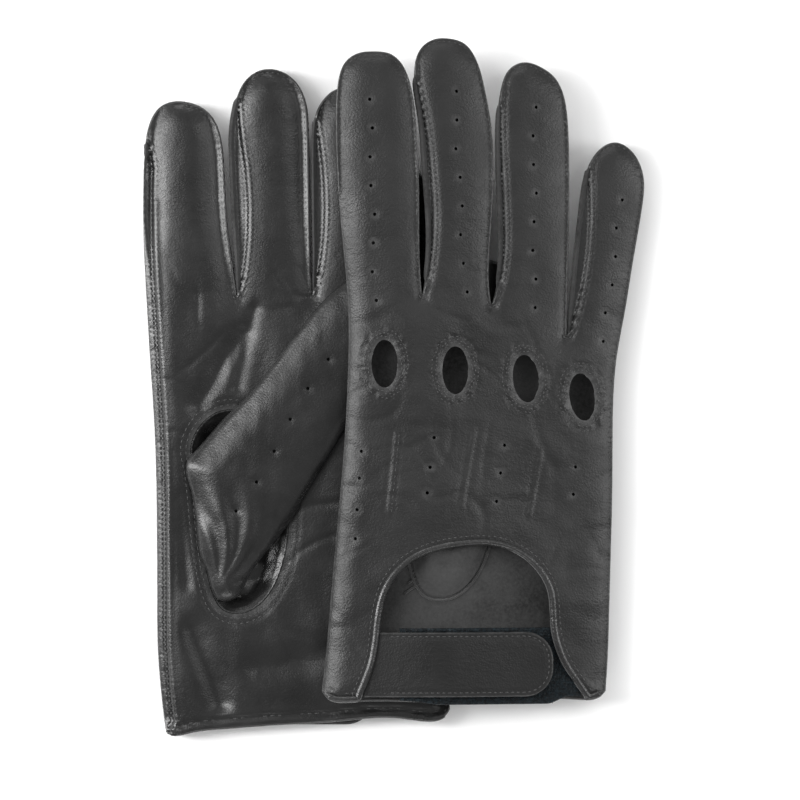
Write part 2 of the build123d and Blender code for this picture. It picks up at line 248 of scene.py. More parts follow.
def bump(value, centre, width):
    """A bell curve: 1 at the centre, fading to nothing about two widths away."""
    return np.exp(-((value - centre) / width) ** 2)


def ripples(points, size, seed):
    """Smooth noise over plan points, from about -1 to 1."""
    scale = 1 / size
    return np.array([noise.fractal((x * scale, y * scale, seed), 1.0, 2.0, 1) for x, y in points])


# ---------------------------------------------------------------- meshes

def triangles(outline, holes, grid, rings=(0.35 * MM, 0.85 * MM)):
    """Evenly spaced points and triangles that fill an outline and leave its holes open."""
    loops = [outline, *holes]
    edge_points = np.concatenate(loops)
    tree = point_tree(edge_points)
    low, high = outline.min(0), outline.max(0)
    rows = np.arange(low[1], high[1], grid * 0.87)
    filling = []
    for r, y in enumerate(rows):
        xs = np.arange(low[0] + (r % 2) * grid / 2, high[0], grid)
        filling.append(np.column_stack([xs, np.full(len(xs), y)]))
    filling = np.concatenate(filling)
    filling = filling[inside(filling, outline)]
    for hole in holes:
        near = np.all((filling > hole.min(0) - grid) & (filling < hole.max(0) + grid), axis=1)
        drop = np.zeros(len(filling), bool)
        drop[near] = inside(filling[near], hole)
        filling = filling[~drop]
    gap = rings[-1] + grid * 0.45 if rings else grid * 0.5
    filling = filling[gaps_to(tree, filling) > gap]
    layers = [filling]
    for ring in rings:
        moved = outline + left_of(ways_round(outline)) * ring
        layers.append(moved[gaps_to(tree, moved) > ring * 0.9])
    points = np.concatenate([edge_points, *layers])
    edges = []
    first = 0
    for loop in loops:
        count = len(loop)
        edges += [(first + i, first + (i + 1) % count) for i in range(count)]
        first += count
    made = geometry.delaunay_2d_cdt([Vector(p) for p in points], edges, [], 0, 1e-7)
    spots = np.array([tuple(v) for v in made[0]])
    faces = np.array([f for f in made[2] if len(f) == 3])
    centres = spots[faces].mean(1)
    keep = inside(centres, outline)
    for hole in holes:
        near = keep & np.all((centres > hole.min(0)) & (centres < hole.max(0)), axis=1)
        where = np.nonzero(near)[0]
        keep[where] = ~inside(centres[where], hole)
    faces = faces[keep]
    a, b, c = (spots[faces[:, k]] for k in range(3))
    area = (b[:, 0] - a[:, 0]) * (c[:, 1] - a[:, 1]) - (b[:, 1] - a[:, 1]) * (c[:, 0] - a[:, 0])
    sound = np.abs(area) > FLAT_AREA
    faces = faces[sound]
    area = area[sound]
    faces[area < 0] = faces[area < 0][:, ::-1]
    return spots, faces


def vertex_normals(points, faces):
    """Normal of each point, from the triangles round it."""
    a, b, c = (points[faces[:, k]] for k in range(3))
    flat = np.cross(b - a, c - a)
    normals = np.zeros_like(points)
    for k in range(3):
        np.add.at(normals, faces[:, k], flat)
    return unit_rows(normals)


def open_edges(faces):
    """Edges that only one face has, in the direction that face takes them."""
    pairs = np.concatenate([faces[:, [0, 1]], faces[:, [1, 2]], faces[:, [2, 0]]])
    known = set(map(tuple, pairs))
    return np.array([(a, b) for a, b in pairs if (b, a) not in known])


class Shell:
    """Faces with their own corner normals, gathered before they become pieces."""

    def __init__(self):
        self.points = []
        self.faces = []
        self.normals = []
        self.slots = []
        self.count = 0

    def add(self, points, faces, normals, slot):
        """normals holds one normal for each corner of each face."""
        self.points.append(points)
        self.faces += [tuple(int(i) + self.count for i in face) for face in faces]
        self.normals.append(normals)
        self.slots += [slot] * len(faces)
        self.count += len(points)

    def piece(self, name, materials):
        piece = plain_piece(name, np.concatenate(self.points), self.faces, materials)
        piece.data.polygons.foreach_set("material_index", self.slots)
        piece.data.normals_split_custom_set(np.concatenate(self.normals).tolist())
        piece.data.update()
        return piece


def leather_shells(points, faces, owner, outward, groups, thickness=SKIN):
    """Outer skin, flesh side and cut edges of a leather sheet, shared out by the owner of each face."""
    normals = vertex_normals(points, faces)
    if outward < 0:
        normals = -normals
        faces = faces[:, ::-1]
    under = points - normals * thickness
    rims = open_edges(faces)
    rim_owner = {}
    for face, who in zip(faces, owner):
        for a, b in ((face[0], face[1]), (face[1], face[2]), (face[2], face[0])):
            rim_owner[(a, b)] = who
    for who in sorted(set(owner)):
        shell = groups.setdefault(who, Shell())
        mine = faces[owner == who]
        used, local = np.unique(mine, return_inverse=True)
        local = local.reshape(mine.shape)
        shell.add(points[used], local, normals[mine.ravel()], 0)
        turned = mine[:, ::-1]
        shell.add(under[used], local[:, ::-1], -normals[turned.ravel()], 1)
        edge = np.array([e for e in rims if rim_owner[tuple(e)] == who])
        if len(edge):
            quad_points = np.concatenate([points[edge[:, 0]], points[edge[:, 1]],
                                          under[edge[:, 1]], under[edge[:, 0]]])
            n = len(edge)
            quads = np.column_stack([np.arange(n) + k * n for k in (1, 0, 3, 2)])
            side = np.cross(points[edge[:, 1]] - points[edge[:, 0]], normals[edge[:, 0]])
            shell.add(quad_points, quads, np.repeat(unit_rows(side), 4, axis=0), 1)


def plain_piece(name, points, faces, materials):
    """A smooth mesh object with its own normals."""
    mesh = bpy.data.meshes.new(name)
    mesh.from_pydata([tuple(p) for p in points], [], [tuple(int(i) for i in f) for f in faces])
    for material in materials:
        mesh.materials.append(material)
    mesh.polygons.foreach_set("use_smooth", [True] * len(mesh.polygons))
    mesh.update()
    piece = bpy.data.objects.new(name, mesh)
    bpy.context.scene.collection.objects.link(piece)
    return piece


def ring_faces(rings, sides, first=0):
    """Faces between rings of points that follow one another, each with the same number of sides."""
    faces = []
    for start in range(first, first + (rings - 1) * sides, sides):
        for s in range(sides):
            n = (s + 1) % sides
            faces.append((start + s, start + n, start + sides + n, start + sides + s))
    return faces


def later_faces(faces, first):
    """The faces numbered from first on."""
    return [tuple(i + first for i in face) for face in faces]


def tube(path, radii, sides=10):
    """Points and faces of a tube along a path, closed at both ends."""
    path = np.array(path)
    radii = np.broadcast_to(radii, len(path))
    along = unit_rows(np.gradient(path, axis=0))
    side = unit_rows(np.cross(along, np.array([0.0, 0.0, 1.0])))
    top = np.cross(side, along)
    angles = np.arange(sides) * 2 * math.pi / sides
    points = (path[:, None] + radii[:, None, None] * (side[:, None] * np.cos(angles)[None, :, None]
                                                     + top[:, None] * np.sin(angles)[None, :, None]))
    faces = ring_faces(len(path), sides)
    faces.append(tuple(range(sides))[::-1])
    faces.append(tuple((len(path) - 1) * sides + s for s in range(sides)))
    return points.reshape(-1, 3), faces


class Stitches:
    """Sewing thread gathered by the piece it rides with."""

    RINGS = ((-0.5, 0.3), (-0.3, 1.0), (0.3, 1.0), (0.5, 0.3))      # place along the stitch, and width

    def __init__(self):
        self.points = {}
        self.faces = {}

    def one(self, who, centre, along, normal, long, wide):
        side = np.cross(normal, along)
        sides = 5
        points = self.points.setdefault(who, [])
        faces = self.faces.setdefault(who, [])
        first = len(points)
        for place, size in self.RINGS:
            for s in range(sides):
                angle = 2 * math.pi * s / sides
                sink = -0.35 * wide * (abs(place) > 0.4)
                points.append(centre + along * place * long + side * (math.cos(angle) * size * wide / 2)
                              + normal * (math.sin(angle) * size * wide * 0.42 + sink))
        faces += ring_faces(len(self.RINGS), sides, first)
        faces.append(tuple(first + s for s in range(sides))[::-1])
        faces.append(tuple(first + 3 * sides + s for s in range(sides)))

    def row(self, line, surface, owner, facing=1, pitch=STITCH_PITCH, long=STITCH_LONG, wide=STITCH_WIDE):
        """Stitches along a line of plan points on a surface; owner says which piece each rides with."""
        if len(line) < 2:
            return
        line = np.array(line)
        run = np.concatenate([[0], np.cumsum(np.linalg.norm(np.diff(line, axis=0), axis=1))])
        count = int(run[-1] / pitch)
        if count < 1:
            return
        spots = (np.arange(count) + 0.5) * run[-1] / count
        x = np.interp(spots, run, line[:, 0])
        y = np.interp(spots, run, line[:, 1])
        ahead = spots + pitch * 0.3
        behind = spots - pitch * 0.3
        direction = np.column_stack([np.interp(ahead, run, line[:, k]) - np.interp(behind, run, line[:, k])
                                     for k in (0, 1)])
        direction = unit_rows(direction)
        centres = np.column_stack([x, y])
        reach = 0.4 * MM
        z = surface(centres)
        slope_x = (surface(centres + (reach, 0)) - surface(centres - (reach, 0))) / (2 * reach)
        slope_y = (surface(centres + (0, reach)) - surface(centres - (0, reach))) / (2 * reach)
        slope_x = np.clip(slope_x, -2, 2)
        slope_y = np.clip(slope_y, -2, 2)
        normals = np.column_stack([-slope_x, -slope_y, np.ones(count)])
        normals *= facing / np.linalg.norm(normals, axis=1)[:, None]
        owners = owner(centres)
        for i in range(count):
            along = np.array([direction[i, 0], direction[i, 1],
                              slope_x[i] * direction[i, 0] + slope_y[i] * direction[i, 1]])
            along /= np.linalg.norm(along)
            centre = np.array([x[i], y[i], z[i]]) + normals[i] * STITCH_LIFT
            self.one(owners[i], centre, along, normals[i], long, wide)

    def sew(self, line, skin, **sizes):
        """Stitches along a line on the leather of a hand."""
        self.row(line, skin.height, skin.glove.owner, facing=skin.top, **sizes)


# ---------------------------------------------------------------- heights of the CAD faces

def face_table(names, facing):
    """Height over x of the faces of some CAD nodes that look up or down, as two arrays."""
    spots = {}
    for name in names:
        mesh = NODES[name].data
        for face in mesh.polygons:
            if face.normal.z * facing < 0.5:
                continue
            for v in face.vertices:
                co = mesh.vertices[v].co
                spots.setdefault(round(co.x, 4), []).append(co.z)
    xs = np.array(sorted(spots))
    pick = max if facing > 0 else min
    return xs, np.array([pick(spots[x]) for x in xs])


def level(table, x):
    """Height at x, with the fold of the drape rounded as leather rounds it."""
    shifts = (-12, -8, -4, 0, 4, 8, 12)
    return sum(np.interp(x + shift * MM, *table) for shift in shifts) / len(shifts)


# ---------------------------------------------------------------- one glove

class Glove:
    """Outlines, heights and ownership of the leather of one glove."""

    def __init__(self, name, back_up):
        self.name = name
        self.back_up = back_up
        outer = 1 if back_up else -1
        palms = [f"{name}_palm_panel"] + [f"{name}_{f}_palm" for f in FINGERS]
        backs = [f"{name}_back_panel"] + [f"{name}_{f}_back" for f in FINGERS]
        self.palm_face = face_table(palms, -outer)
        self.back_face = face_table(backs, outer)
        self.palm_loops = plan_loops(palms[0], 1)
        self.back_loops = plan_loops(backs[0], outer)
        fingers = [plan_loops(f"{name}_{f}_palm", 1)[0] for f in FINGERS]
        self.outline = evenly(join_fingers(self.palm_loops[0], fingers), EDGE_STEP)
        self.back_outline = evenly(join_fingers(self.back_loops[0], fingers), EDGE_STEP)
        self.folds = []
        for finger in FINGERS:
            joint = JOINTS[f"{name}_{finger}_fold"]
            axis = np.array(joint["axis"][:2])
            axis /= np.linalg.norm(axis)
            self.folds.append((np.array(joint["pos_m"][:2]), np.array([-axis[1], axis[0]])))
        self.mark_edges()

    def mark_edges(self):
        """What each point of the outline belongs to, and how the leather rounds over there."""
        line = self.outline
        angle = turns(line)
        forks = sorted(np.argsort(angle)[:3])
        count = len(line)
        start = int(np.argmin(line[:, 1]))
        order = (np.arange(count) + start) % count
        rank = np.empty(count, int)
        rank[order] = np.arange(count)
        fork_ranks = sorted(rank[f] for f in forks)
        self.finger = 3 - np.searchsorted(fork_ranks, rank, side="right")
        right = line[:, 0] >= (line[:, 0].min() + line[:, 0].max()) / 2
        self.finger[(rank <= fork_ranks[0]) & right] = 3
        self.along, self.across = self.axes(line, np.arange(count))
        self.inward = left_of(ways_round(line))
        foot = line[:, 1].min()
        self.hem = (line[:, 1] < foot + 11 * MM) & (self.inward[:, 1] > 0.7)
        tips = np.array([self.along[self.finger == k].max() for k in range(4)])
        self.tips = tips
        to_tip = tips[self.finger] - self.along
        index_side = (self.finger == 0) & (self.across < 0)
        little_side = (self.finger == 3) & (self.across > 0)
        edge = np.full(count, EDGE_SHARE["between fingers"])
        edge[index_side] = EDGE_SHARE["index side"] * smooth_step(self.along[index_side], -6 * MM, 28 * MM)
        edge[little_side] = EDGE_SHARE["little side"]
        edge = np.where(to_tip < 7 * MM, EDGE_SHARE["tips"], edge)
        edge[self.hem] = EDGE_SHARE["hem"]
        on_hand = self.along < -8 * MM
        reach = np.full(count, ROUNDING["fingers"])
        reach[index_side & on_hand] = ROUNDING["index side"]
        reach[little_side & on_hand] = ROUNDING["little side"]
        reach[self.hem] = ROUNDING["hem"]
        reveal = np.zeros(count)
        for k, widest in enumerate(STRIPS_SHOWN[self.name]):
            mine = (self.finger == k) & (self.across < 0) & ~self.hem
            if k == 0:
                reveal[mine] = widest * (1 - smooth_step(self.along[mine], 16 * MM, 30 * MM))
            elif mine.any():
                low = self.along[mine].min()
                part = np.clip((self.along[mine] - low) / (tips[k] - 9 * MM - low), 0, 1)
                reveal[mine] = widest * np.sin(math.pi * part) ** 0.7
        self.edge = self.smoothed(edge)
        self.reach = self.smoothed(reach)
        self.reveal = self.smoothed(reveal, 3)
        self.index_side = index_side & ~self.hem
        fine = evenly(line, 0.4 * MM)
        tree = point_tree(line)
        self.fine_from = np.array([tree.find((x, y, 0))[1] for x, y in fine])
        self.tree = point_tree(fine)

    @staticmethod
    def smoothed(values, width=6):
        total = sum(np.roll(values, shift) for shift in range(-width, width + 1))
        return total / (2 * width + 1)

    def nearest(self, points):
        """Distance to the outline, and the outline point nearest to each point."""
        found = [self.tree.find((x, y, 0)) for x, y in points]
        gap = np.array([f[2] for f in found])
        which = self.fine_from[[f[1] for f in found]]
        return gap, which

    def middle(self, x):
        return (level(self.palm_face, x) + level(self.back_face, x)) / 2

    def half(self, x):
        return abs(level(self.back_face, x) - level(self.palm_face, x)) / 2

    def axes(self, points, which):
        """Place of points along and across the finger they lie nearest to."""
        along = np.zeros(len(points))
        across = np.zeros(len(points))
        for k, (place, ahead) in enumerate(self.folds):
            mine = self.finger[which] == k
            offset = points[mine] - place
            along[mine] = offset @ ahead
            across[mine] = offset @ np.array([ahead[1], -ahead[0]])
        return along, across

    def shape(self, points, top):
        """Plain height of the upper (1) or lower (-1) leather, the distance to its seam, the nearest
        outline points and the place along the finger."""
        gap, which = self.nearest(points)
        along, across = self.axes(points, which)
        middle = self.middle(points[:, 0])
        half = self.half(points[:, 0])
        edge = self.edge[which]
        reach = self.reach[which] if top > 0 else self.reach[which] * 0.5
        part = np.clip(gap / reach, 0, 1)
        rise = edge + (1 - edge) * np.sqrt(np.clip(1 - (1 - part) ** 2, 0, 1))
        z = middle + top * half * rise
        on_finger = smooth_step(along, -31 * MM, 2 * MM)
        sag = 0.9 * MM if self.back_up else 2.0 * MM
        sideways = np.clip(across / (13.5 * MM), -1, 1) ** 2
        z -= top * sag * on_finger * sideways * smooth_step(gap, 0, 3 * MM)
        if top > 0:
            shown = self.reveal[which]
            outside = 1 - smooth_step(gap, shown - 0.35 * MM, shown + 0.45 * MM)
            step = smooth_step(shown, 0.4 * MM, 1.2 * MM) * outside
            wrapped = self.index_side[which]
            z -= step * 1.5 * MM * smooth_step(gap, 0, 0.8 * MM)
            z -= step * (0.5 + 0.9 * wrapped) * MM * bump(gap, shown - 0.4 * MM, 0.6 * MM)
            z += step * 0.5 * MM * wrapped * bump(gap, shown * 0.45, shown * 0.3 + 0.1 * MM)
            gap = gap - shown
        return z, gap, which, along

    def owner(self, points):
        """-1 for the hand, or the number of the finger whose piece each point goes to."""
        _, which = self.nearest(points)
        along, _ = self.axes(points, which)
        return np.where(along > -BLEND_REACH, self.finger[which], -1)


# ---------------------------------------------------------------- the design of the back of the hand

# For each finger: how far below the tip its holes start, how many there are and how far they lie aside
PERFORATIONS = [(17 * MM, 8, -2.2 * MM), (19 * MM, 8, 0.6 * MM),
                (16 * MM, 8, 0.4 * MM), (20 * MM, 6, 3.2 * MM)]
PERFORATION_PITCH = 10.1 * MM
# Holes below each knuckle hole, and the ends of the decorative lines, in mm from the hole's centre
BACK_DOTS = [[(-8.2, -30.8), (-8.9, -40.2), (-9.7, -51.3), (-10.3, -61.5)],
             [(-7.5, -23.7), (-8.9, -34.1), (-9.9, -43.1)],
             [(-7.5, -23.5), (-8.9, -33.3), (-10.3, -43.3)],
             [(-2.4, -24.7), (-3.2, -34.4)]]
POINTS = [((4.4, -24.1), (1.5, -52.7)), ((6.7, -20.6), (2.2, -48.3)), ((5.7, -24.5), (1.2, -48.9))]
# Soft folds of the palm: both ends in mm from the top of the thumb's seam, width and depth in mm
PALM_FOLDS = [((-12, 1), (3, 27), 3.2, 1.3), ((2, 8), (8, 36), 2.4, 0.8), ((-14, -78), (-4, -104), 4.0, 1.2),
              ((10, -92), (44, -84), 5.0, 1.0), ((-20, -30), (-16, -62), 2.5, 0.5)]
# Rows of stitches round a knuckle hole, by distance from its edge
RING_ROWS = (1.3 * MM, 2.4 * MM, 3.6 * MM)
# The two rows round the thumb's seam, by distance from it, and the row along the hem
THUMB_ROWS = (1.5 * MM, 3.4 * MM)
HEM_ROW = 3.2 * MM


def circle(centre, radius, sides=9):
    turn = np.arange(sides) * 2 * math.pi / sides
    return np.column_stack([centre[0] + radius * np.cos(turn), centre[1] + radius * np.sin(turn)])


def knuckle_loops(glove):
    """The four knuckle holes, from the index side."""
    loops = sorted(glove.back_loops[1:5], key=lambda loop: loop[:, 0].mean())
    return [evenly(loop, 0.8 * MM, corner=2.0) for loop in loops]


def perforations(glove):
    """Centres of the punched holes along the fingers and below the knuckles."""
    spots = []
    for k, (first, number, aside) in enumerate(PERFORATIONS):
        place, ahead = glove.folds[k]
        right = np.array([ahead[1], -ahead[0]])
        top = glove.tips[k] - first
        for i in range(number):
            along = top - i * PERFORATION_PITCH
            sway = 0.7 * MM * math.sin(i * 1.9 + k)
            spots.append(place + ahead * along + right * (aside + sway))
    for hole, dots in zip(knuckle_loops(glove), BACK_DOTS):
        centre = hole.mean(0)
        spots += [centre + np.array(dot) * MM for dot in dots]
    return spots


def point_lines(glove):
    """The three decorative lines below the knuckles."""
    lines = []
    for hole, (top, bottom) in zip(knuckle_loops(glove), POINTS):
        centre = hole.mean(0)
        lines.append(np.array([centre + np.array(top) * MM, centre + np.array(bottom) * MM]))
    return lines


def creases(points, seed, low, high, number, depth):
    """Shallow, slightly curved folds scattered over an area, as handled leather has."""
    rng = np.random.default_rng(seed)
    z = np.zeros(len(points))
    for _ in range(number):
        centre = low + (high - low) * rng.random(2)
        angle = rng.normal(0.0, 0.5) if rng.random() < 0.6 else rng.uniform(0, math.pi)
        long = rng.uniform(5, 14) * MM
        wide = rng.uniform(0.8, 1.8) * MM
        bend = rng.normal(0, 0.03) / MM
        offset = points - centre
        u = offset @ np.array([math.cos(angle), math.sin(angle)])
        v = offset @ np.array([-math.sin(angle), math.cos(angle)]) - bend * u * u
        z -= depth * rng.uniform(0.4, 1.0) * np.exp(-(v / wide) ** 2 - (u / long) ** 2)
    return z


def seam_dip(gap, inset, depth=0.5 * MM, width=0.6 * MM):
    """Leather pulled in along a row of stitches."""
    return -depth * bump(gap, inset, width)


class BackSkin:
    """Leather of the back of a hand."""

    def __init__(self, glove):
        self.glove = glove
        self.top = 1 if glove.back_up else -1
        self.holes = knuckle_loops(glove)
        self.dots = perforations(glove)
        self.points = point_lines(glove)

    def height(self, points):
        glove = self.glove
        z, gap, which, along = glove.shape(points, self.top)
        up = self.top
        seam = glove.edge[which] > 0.12
        z += up * np.where(seam, seam_dip(gap, SEAM_INSET), 0)
        z += up * np.where(seam, 0.45 * MM * bump(gap, 0.3 * MM, 0.4 * MM), 0)
        for hole in self.holes:
            away, _ = to_line(points, hole, closed=True)
            offset = points - hole.mean(0)
            turn = np.arctan2(offset[:, 1], offset[:, 0])
            ring = bump(away, 2.3 * MM, 2.2 * MM)
            z += up * ring * 0.13 * MM * np.cos(turn * 23 + away / (1.1 * MM))
            z += up * ring * 0.65 * MM * ripples(points, 1.9 * MM, 5.2)
            for row in RING_ROWS:
                z += up * seam_dip(away, row, 0.38 * MM, 0.4 * MM)
            z += up * 0.30 * MM * bump(away, 2.2 * MM, 1.6 * MM)
            z -= up * 0.45 * MM * bump(away, 0, 0.7 * MM)
        for dot in self.dots:
            away = np.hypot(points[:, 0] - dot[0], points[:, 1] - dot[1])
            z -= up * 0.22 * MM * bump(away, 0, 1.2 * MM)
        for line in self.points:
            away, run = to_line(points, line)
            length = np.linalg.norm(line[1] - line[0])
            fade = smooth_step(length / 2 + 1.5 * MM - np.abs(run - length / 2), 0, 3 * MM)
            z += up * fade * 0.40 * MM * bump(away, 0, 0.6 * MM)
            z -= up * fade * 0.20 * MM * bump(away, 1.3 * MM, 0.7 * MM)
        z += up * self.texture(points, along)
        return z if up > 0 else np.maximum(z, level(glove.back_face, points[:, 0]))

    def texture(self, points, along):
        """Soft hollows, fine wrinkles and creases."""
        low, high = self.glove.outline.min(0), self.glove.outline.max(0)
        wave = 0.8 * MM * ripples(points, 26 * MM, 3.1)
        wave += 0.28 * MM * ripples(points * (1.0, 1.5), 9 * MM, 7.7)
        wave += 0.035 * MM * ripples(points, 2.6 * MM, 1.3)
        worn = smooth_step(-along, -6 * MM, 30 * MM)
        return wave * (0.35 + 0.65 * worn) + worn * creases(points, 11, low, high, 90, 0.4 * MM)


class PalmSkin:
    """Leather of the palm."""

    def __init__(self, glove, thumb_hole):
        self.glove = glove
        self.top = -1 if glove.back_up else 1
        self.thumb_hole = thumb_hole

    def height(self, points):
        glove = self.glove
        z, gap, which, along = glove.shape(points, self.top)
        up = self.top
        seam = glove.edge[which] > 0.12
        z += up * np.where(seam & ~glove.hem[which], seam_dip(gap, SEAM_INSET), 0)
        away, _ = to_line(points, self.thumb_hole, closed=True)
        for row in THUMB_ROWS:
            z += up * seam_dip(away, row, 0.25 * MM)
        z -= up * 0.5 * MM * bump(away, 0, 1.6 * MM)
        z += up * 0.5 * MM * bump(away, 0.5 * MM, 0.35 * MM)
        z -= up * np.where(glove.hem[which], 0.55 * MM * bump(gap, HEM_ROW, 0.5 * MM), 0)
        top = self.thumb_hole[np.argmax(self.thumb_hole[:, 1])]
        for start, end, wide, deep in PALM_FOLDS if up > 0 else []:
            line = np.array([top + np.array(start) * MM, top + np.array(end) * MM])
            away, _ = to_line(points, line)
            z -= up * deep * MM * bump(away, 0, wide * MM) * smooth_step(gap, 2 * MM, 8 * MM)
        z += up * (self.texture(points, along) - 0.9 * MM) * smooth_step(gap, 0, 3 * MM)
        limit = level(glove.palm_face, points[:, 0]) + up * 0.1 * MM
        return np.minimum(z, limit) if up > 0 else np.maximum(z, limit)

    def texture(self, points, along):
        low, high = self.glove.outline.min(0), self.glove.outline.max(0)
        hand = smooth_step(-along, 10 * MM, 32 * MM)
        wave = (0.5 + 0.8 * hand) * MM * ripples(points * (1.0, 0.5), 30 * MM, 5.5)
        wave += (0.12 + 0.3 * hand) * MM * ripples(points * (1.3, 0.7), 12 * MM, 2.2)
        wave += 0.04 * MM * ripples(points, 2.6 * MM, 9.3)
        return wave + hand * creases(points, 23, low, high, 40, 0.35 * MM)


def part_name(who):
    return "hand" if who < 0 else FINGERS[who]


def move_with(piece, glove, who):
    """The piece rides with the hand (-1); a finger's piece only has its transform baked in and stays where
    it is.
    """
    if who < 0:
        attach(piece, f"{glove.name}_hand")
        return
    place, ahead = glove.folds[who]
    z = float(glove.middle(place[0]))
    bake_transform(piece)


def share_out(glove, groups, label, materials, stands_for):
    """Turn gathered shells into a piece for the hand and one for each finger."""
    for who, shell in groups.items():
        part = part_name(who)
        piece = shell.piece(f"{glove.name}_{part}_{label}", materials)
        move_with(piece, glove, who)
        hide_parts(*stands_for(part))


def build_skin(glove, skin, outline, holes, grid, label, materials, stands_for):
    """One leather panel of a glove."""
    spots, faces = triangles(outline, holes, grid)
    points = np.column_stack([spots, skin.height(spots)])
    owner = glove.owner(spots[faces].mean(1))
    groups = {}
    leather_shells(points, faces, owner, skin.top, groups)
    share_out(glove, groups, label, materials, stands_for)


def build_strips(glove, upper, lower, materials):
    """The side walls: strips between the fingers, and the seams at the outer edges."""
    line = glove.outline
    count = len(line)
    rows = 7
    shown = ~glove.hem & (glove.edge > 0.03)
    high = upper.height(line)
    low = lower.height(line)
    bow = 1.5 * MM * np.clip(glove.edge / EDGE_SHARE["between fingers"], 0, 1)
    points = np.empty((count, rows, 3))
    for r in range(rows):
        t = r / (rows - 1)
        spot = line + glove.inward * (bow * math.sin(math.pi * t))[:, None]
        points[:, r, :2] = spot
        points[:, r, 2] = high + (low - high) * t
    faces = []
    for i in range(count):
        n = (i + 1) % count
        if not (shown[i] and shown[n]):
            continue
        for r in range(rows - 1):
            a, b, c, d = i * rows + r, n * rows + r, n * rows + r + 1, i * rows + r + 1
            faces += [(a, d, b), (b, d, c)]
    faces = np.array(faces)
    flat = points.reshape(-1, 3)
    owner = glove.owner(flat[faces].mean(1)[:, :2])
    groups = {}
    leather_shells(flat, faces, owner, 1, groups, thickness=0.5 * MM)

    def stands_for(part):
        if part == "hand":
            return [n for n in NODES if n.startswith(f"{glove.name}_fourchette")]
        return [n for n in NODES if n.startswith(f"{glove.name}_{part}_strip")]

    share_out(glove, groups, "side_strips", materials, stands_for)


# ---------------------------------------------------------------- sewing, piping and holes

def runs_where(chosen):
    """Numbers of the chosen points of a closed outline, one list for each unbroken run."""
    count = len(chosen)
    first = int(np.nonzero(~chosen)[0][0])
    runs = [[]]
    for i in (np.arange(count) + first) % count:
        if chosen[i]:
            runs[-1].append(i)
        elif runs[-1]:
            runs.append([])
    return [run for run in runs if run]


def inset_lines(glove, chosen, amount, shown=False):
    """Runs of the outline moved inward, where chosen; each run is an array of plan points."""
    amount = amount + (glove.reveal if shown else np.zeros(len(glove.outline)))
    line = glove.outline + glove.inward * amount[:, None]
    gap, _ = glove.nearest(line)
    good = chosen & (gap > amount * 0.8)
    return [line[run] for run in runs_where(good) if len(run) > 6]


def beside_loop(loop, distance):
    """A closed loop moved outward, or inward for a distance below zero."""
    if turns(loop).sum() < 0:
        loop = loop[::-1]
    moved = loop - left_of(ways_round(loop)) * distance
    return np.concatenate([moved, moved[:1]])


def loose_stitches(glove, gathered, label, material):
    """The gathered thread as pieces; those on the hand ride with it, those on a finger stay where they are.
    """
    for who, points in gathered.points.items():
        name = f"{glove.name}_{part_name(who)}_{label}"
        piece = plain_piece(name, points, gathered.faces[who], [material])
        move_with(piece, glove, who)


def opening_run(glove):
    """The edge of the wrist opening, from one bottom corner of the back to the other, and its left side."""
    line = glove.back_outline
    gap, which = glove.nearest(line)
    free = (gap > 0.9 * MM) | glove.hem[which]
    best = line[max(runs_where(free), key=len)]
    for _ in range(3):
        best[1:-1] = (best[:-2] + best[1:-1] * 2 + best[2:]) / 4
    return best, left_of(unit_rows(np.gradient(best, axis=0)))


def piping(glove, skin, materials):
    """Rolled leather binding on the edge of the wrist opening."""
    line, left = opening_run(glove)
    middle = line + left * PIPE_RADIUS * 0.9
    sunk = 0.55 * MM if glove.back_up else PIPE_RADIUS
    z = skin.height(line + left * 3 * MM) - skin.top * sunk
    smooth = np.convolve(np.pad(z, 6, mode="edge"), np.ones(13) / 13, mode="valid")
    path = np.column_stack([middle, smooth])
    points, faces = tube(path, PIPE_RADIUS, sides=14)
    piece = plain_piece(f"{glove.name}_opening_piping", points, faces, materials)
    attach(piece, f"{glove.name}_hand")
    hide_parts(f"{glove.name}_opening_binding")


# ---------------------------------------------------------------- closed soft pieces

def weld(parts):
    """One mesh from several, with points at the same place joined."""
    names = {}
    points = []
    faces = []
    for spots, cells in parts:
        new = []
        for spot in spots:
            key = tuple(np.round(spot / (0.01 * MM)).astype(int))
            if key not in names:
                names[key] = len(points)
                points.append(spot)
            new.append(names[key])
        for cell in cells:
            corners = [new[i] for i in cell]
            if len(set(corners)) == len(corners):
                faces.append(tuple(corners))
    return points, faces


def pillow(outline, upper, lower, grid, upper_holes=(), rings=(0.35 * MM, 0.85 * MM)):
    """A closed shape between an upper and a lower surface that meet at the outline."""
    top_spots, top_faces = triangles(outline, upper_holes, grid, rings)
    low_spots, low_faces = triangles(outline, [], grid, rings)
    top = np.column_stack([top_spots, upper(top_spots)])
    low = np.column_stack([low_spots, lower(low_spots)])
    return weld([(top, top_faces), (low, low_faces[:, ::-1])])


def round_rise(gap, reach):
    return np.sqrt(np.clip(1 - (1 - np.clip(gap / reach, 0, 1)) ** 2, 0, 1))


